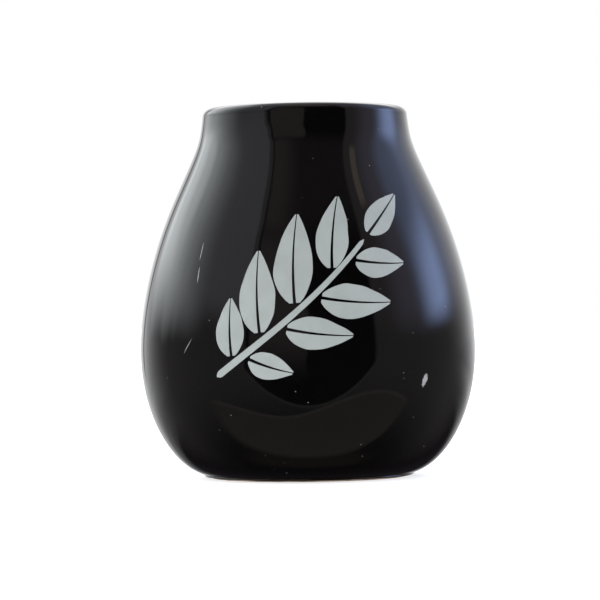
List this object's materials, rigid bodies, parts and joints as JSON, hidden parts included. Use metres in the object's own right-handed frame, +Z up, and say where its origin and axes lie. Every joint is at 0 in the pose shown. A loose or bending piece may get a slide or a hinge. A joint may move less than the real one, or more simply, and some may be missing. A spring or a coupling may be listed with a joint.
{
  "type": "mate cup",
  "caption": "Glossy black glazed ceramic cup for mate, shaped like a gourd: round belly, narrow straight neck, rounded lip and no handle.",
  "frame": {"origin": "centre of the foot, on the surface the cup stands on", "axes": "+Z up along the axis the cup is turned about; -Y is the side that carries the printed motif"},
  "size_m": [0.091, 0.091, 0.1],
  "materials": {
    "glaze": "glossy black glaze",
    "bare_clay": "matt unglazed stoneware",
    "print": "satin pale grey-green overglaze enamel"
  },
  "bodies": {
    "root": {"cup": "glaze"}
  },
  "joints": []
}
